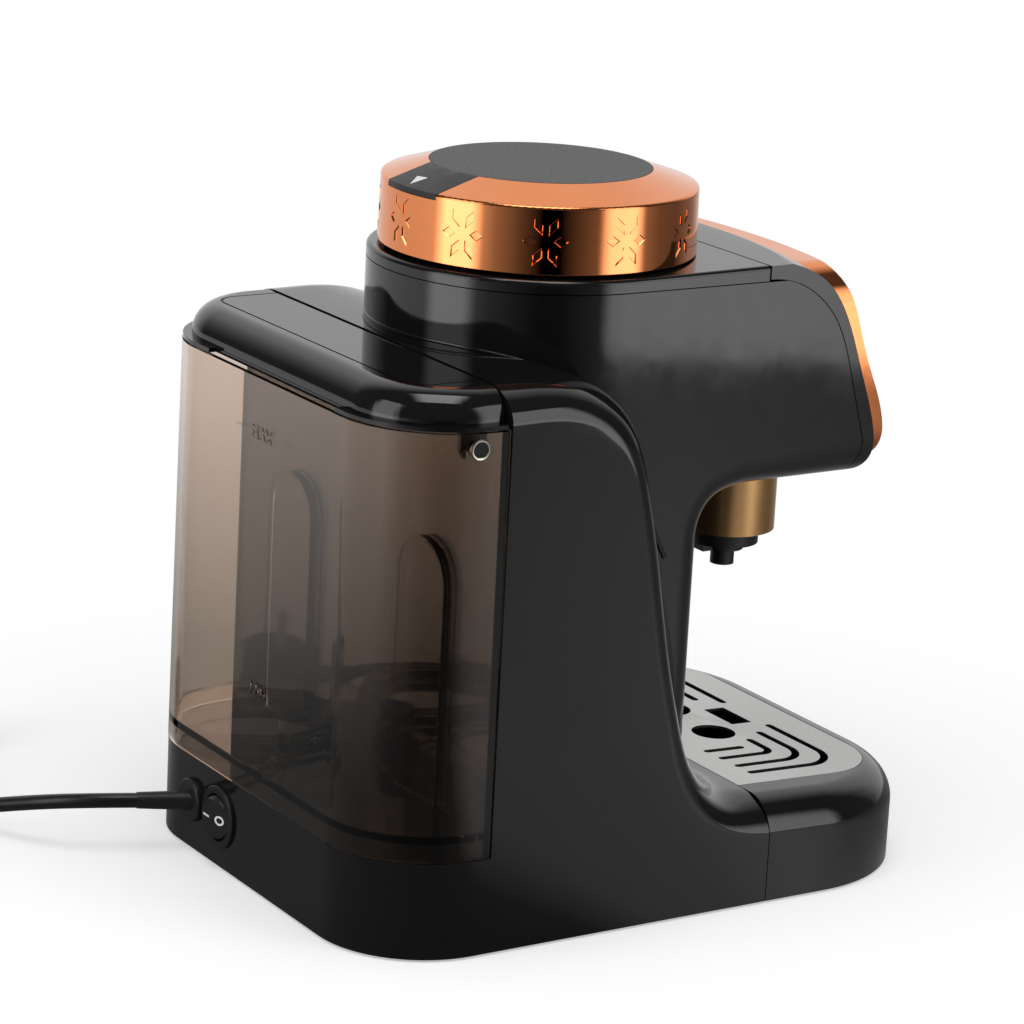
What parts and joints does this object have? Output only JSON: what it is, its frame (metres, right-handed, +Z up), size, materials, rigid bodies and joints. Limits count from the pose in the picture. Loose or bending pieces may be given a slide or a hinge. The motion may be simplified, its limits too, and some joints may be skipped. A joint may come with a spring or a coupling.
{
  "type": "electric turkish coffee maker",
  "caption": "Electric Turkish coffee maker with a lidded brew chamber in a tower, a front spout over a drip tray and a lift-off rear water tank.",
  "frame": {"origin": "on the table, under the middle of the machine's outline (without its mains lead)", "axes": "+Z up; the front with spout and drip tray faces -Y, the water tank is at +Y; +X is the machine's left side seen from the front"},
  "size_m": [0.3207, 0.3956, 0.2791],
  "materials": {
    "body_black": "polished black ABS",
    "base_black": "fine-textured black polypropylene",
    "screw_steel": "zinc-plated steel",
    "foot_rubber": "matt black rubber",
    "copper_plate": "polished copper plating on ABS",
    "button_black": "satin black ABS",
    "lens_amber": "tinted polycarbonate light pipe",
    "board_green": "glass-epoxy board with parts",
    "switch_grey": "moulded nylon",
    "chamber_steel": "brushed stainless steel",
    "heater_aluminium": "cast aluminium",
    "silicone": "translucent silicone",
    "valve_black": "glass-filled nylon",
    "sleeve_gold": "pale gold anodised aluminium",
    "spout_black": "satin black nylon",
    "pump_metal": "painted steel frame",
    "switch_black": "glossy black nylon",
    "cord_black": "satin black PVC sheath",
    "plug_black": "moulded black PVC",
    "pin_nickel": "nickel-plated brass",
    "tray_black": "polished black ABS",
    "grille_steel": "brushed stainless steel",
    "tank_smoke": "smoked translucent SAN",
    "spring_steel": "stainless spring wire",
    "lid_black": "heat-resistant black nylon"
  },
  "bodies": {
    "machine": {"main_housing": "body_black", "bottom_cover": "base_black", "cover_screws": "screw_steel", "rubber_feet": "foot_rubber", "head_cover": "body_black", "front_frame": "body_black", "front_trim": "copper_plate", "control_panel": "body_black", "indicator_lenses": "lens_amber", "control_board": "board_green", "tact_switches": "switch_grey", "brew_chamber": "chamber_steel", "heater_plate": "heater_aluminium", "thermostat": "switch_grey", "outlet_hose": "silicone", "outlet_valve": "valve_black", "spout_sleeve": "sleeve_gold", "spout_holder": "spout_black", "spout_nozzle": "spout_black", "spout_pipe": "silicone", "tank_dock": "valve_black", "water_pump": "pump_metal", "pump_mounts": "foot_rubber", "inlet_hose": "silicone", "delivery_hose": "silicone", "power_board": "board_green", "rocker_bezel": "switch_black", "cord_gland": "cord_black", "mains_cord": "cord_black", "mains_coil": "cord_black", "mains_cord_tail": "cord_black", "plug_body": "plug_black", "plug_pins": "pin_nickel"},
    "drip_tray": {"drip_tray": "tray_black", "tray_feet": "foot_rubber"},
    "drip_grille": {"drip_grille": "grille_steel"},
    "water_tank": {"water_tank": "tank_smoke", "lid_pivot_pins": "switch_black", "tank_valve_body": "valve_black", "tank_valve_seal": "silicone", "tank_valve_cage": "valve_black", "tank_valve_spring": "spring_steel"},
    "tank_lid": {"tank_lid": "body_black"},
    "valve_plunger": {"tank_valve_plunger": "valve_black"},
    "brew_lid": {"lid_plate": "lid_black", "lid_gasket": "silicone"},
    "lid_dial": {"dial_ring": "copper_plate", "dial_disc": "body_black"},
    "rocker": {"rocker_cap": "switch_black"},
    "small_cup_button": {"small_cup_button": "button_black"},
    "large_cup_button": {"large_cup_button": "button_black"}
  },
  "joints": [
    {"name": "drip_tray_pull", "type": "slide", "parent": "machine", "child": "drip_tray", "axis": [0, -1, 0], "range_m": [0, 0.1]},
    {"name": "drip_grille_lift", "type": "slide", "parent": "drip_tray", "child": "drip_grille", "axis": [0, 0, 1], "range_m": [0, 0.06]},
    {"name": "water_tank_lift", "type": "slide", "parent": "machine", "child": "water_tank", "axis": [0, 0, 1], "range_m": [0, 0.2]},
    {"name": "tank_lid_lift", "type": "slide", "parent": "water_tank", "child": "tank_lid", "axis": [0, 0, 1], "range_m": [0, 0.05]},
    {"name": "valve_plunger_slide", "type": "slide", "parent": "water_tank", "child": "valve_plunger", "axis": [0, 0, 1], "range_m": [0, 0.003], "stiffness_N_per_m": 120, "springref_m": -0.004, "deforming": ["tank_valve_spring"]},
    {"name": "brew_lid_lift", "type": "slide", "parent": "machine", "child": "brew_lid", "axis": [0, 0, 1], "range_m": [0, 0.08]},
    {"name": "lid_dial_turn", "type": "hinge", "parent": "brew_lid", "child": "lid_dial", "pos_m": [0, 0.013, 0.26], "axis": [0, 0, 1], "range_deg": [0, 60]},
    {"name": "rocker_tilt", "type": "hinge", "parent": "machine", "child": "rocker", "pos_m": [0.0235, 0.13005, 0.0213], "axis": [0, 0, -1], "range_deg": [0, 20]},
    {"name": "small_cup_button_press", "type": "slide", "parent": "machine", "child": "small_cup_button", "axis": [0, 0.9041, -0.4274], "range_m": [0, 0.0015], "stiffness_N_per_m": 400, "springref_m": -0.001},
    {"name": "large_cup_button_press", "type": "slide", "parent": "machine", "child": "large_cup_button", "axis": [0, 0.9041, -0.4274], "range_m": [0, 0.0015], "stiffness_N_per_m": 400, "springref_m": -0.001}
  ]
}
